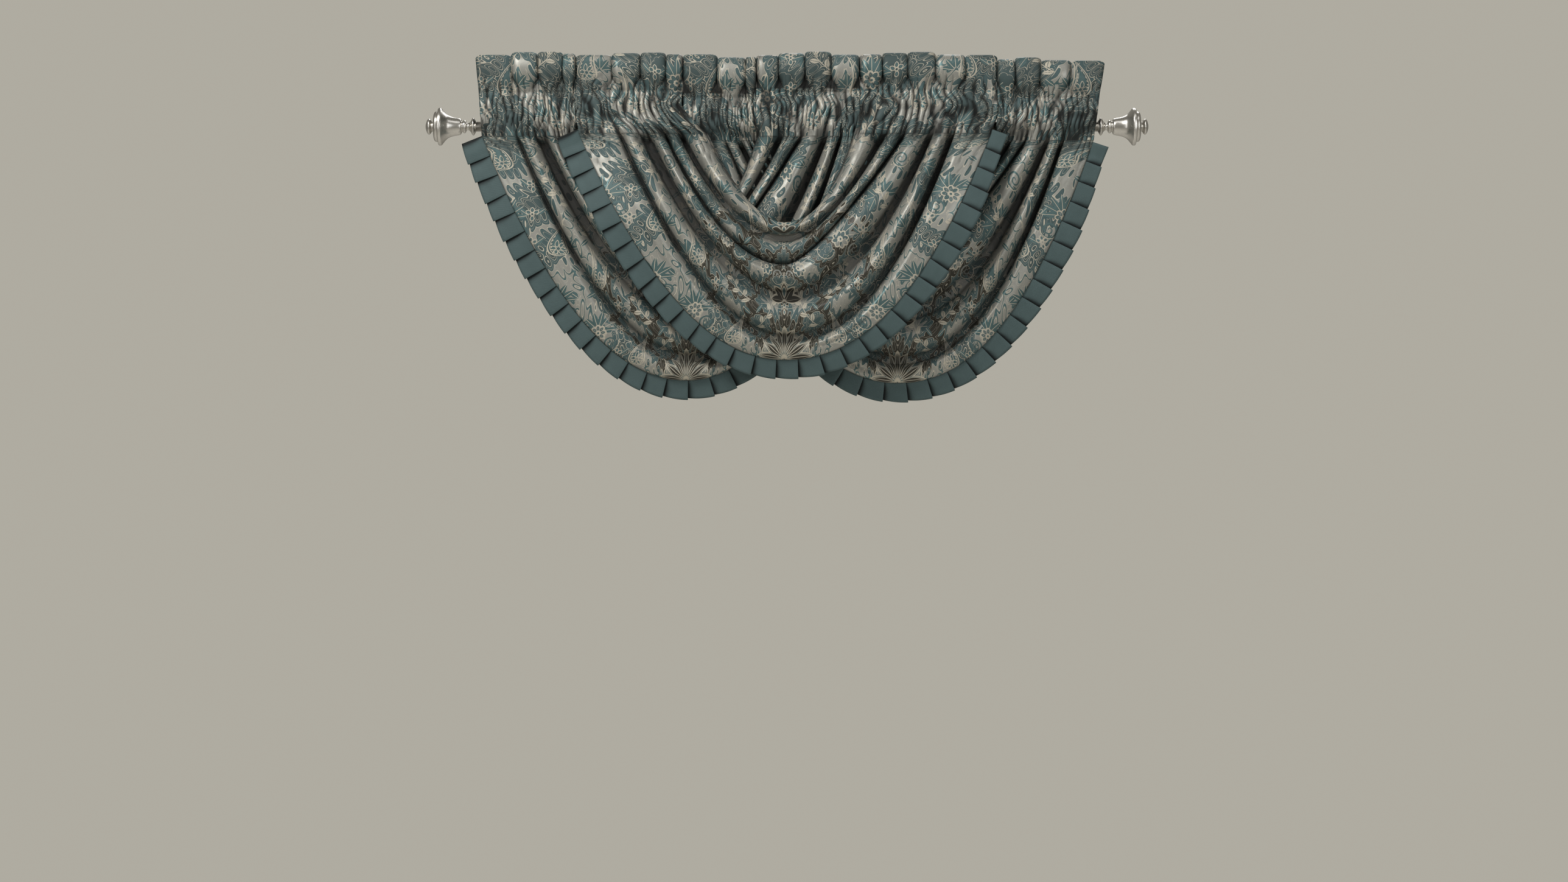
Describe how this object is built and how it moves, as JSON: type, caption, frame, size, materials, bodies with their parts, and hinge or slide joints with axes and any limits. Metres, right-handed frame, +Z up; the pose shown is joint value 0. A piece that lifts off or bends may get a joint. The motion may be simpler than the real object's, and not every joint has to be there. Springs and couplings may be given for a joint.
{
  "type": "waterfall valance set on a curtain rod",
  "caption": "Gathered swag window valances with pleated borders, side by side and overlapping on one plain curtain rod with bell-shaped finials.",
  "frame": {"origin": "on the rod's axis, in the vertical plane through the lowest point of the middle valance", "axes": "+X along the rod to the right as seen from the room, +Y towards the window, +Z up"},
  "size_m": [1.1926, 0.1067, 0.5789],
  "materials": {
    "jacquard": "satin woven jacquard, taupe and slate teal",
    "border_cloth": "matt plain weave, slate teal",
    "brushed_nickel": "brushed"
  },
  "bodies": {
    "root": {"valance_left": "jacquard", "valance_centre": "jacquard", "valance_right": "jacquard", "border_left": "border_cloth", "border_centre": "border_cloth", "border_right": "border_cloth", "rod": "brushed_nickel", "finial_left": "brushed_nickel", "finial_right": "brushed_nickel"}
  },
  "joints": []
}
